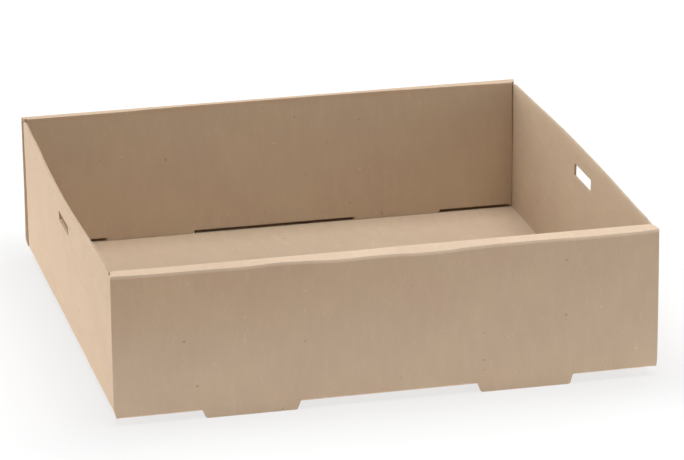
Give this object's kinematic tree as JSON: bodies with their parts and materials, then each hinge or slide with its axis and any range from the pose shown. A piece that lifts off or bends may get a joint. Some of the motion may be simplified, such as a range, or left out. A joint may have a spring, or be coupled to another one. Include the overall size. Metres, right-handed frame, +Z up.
{
  "type": "cardboard tray box",
  "caption": "Open tray box folded from one sheet of fluted board, with rolled double long walls, slotted end walls and short tongues that it stands on.",
  "frame": {"origin": "under the middle of the tray, level with the ends of the tongues that it stands on", "axes": "+X along the long double walls, -Y towards the front double wall, +Z up out of the open tray"},
  "size_m": [0.3076, 0.294, 0.0866],
  "materials": {
    "board": "matt"
  },
  "bodies": {
    "root": {"tray": "board"}
  },
  "joints": []
}
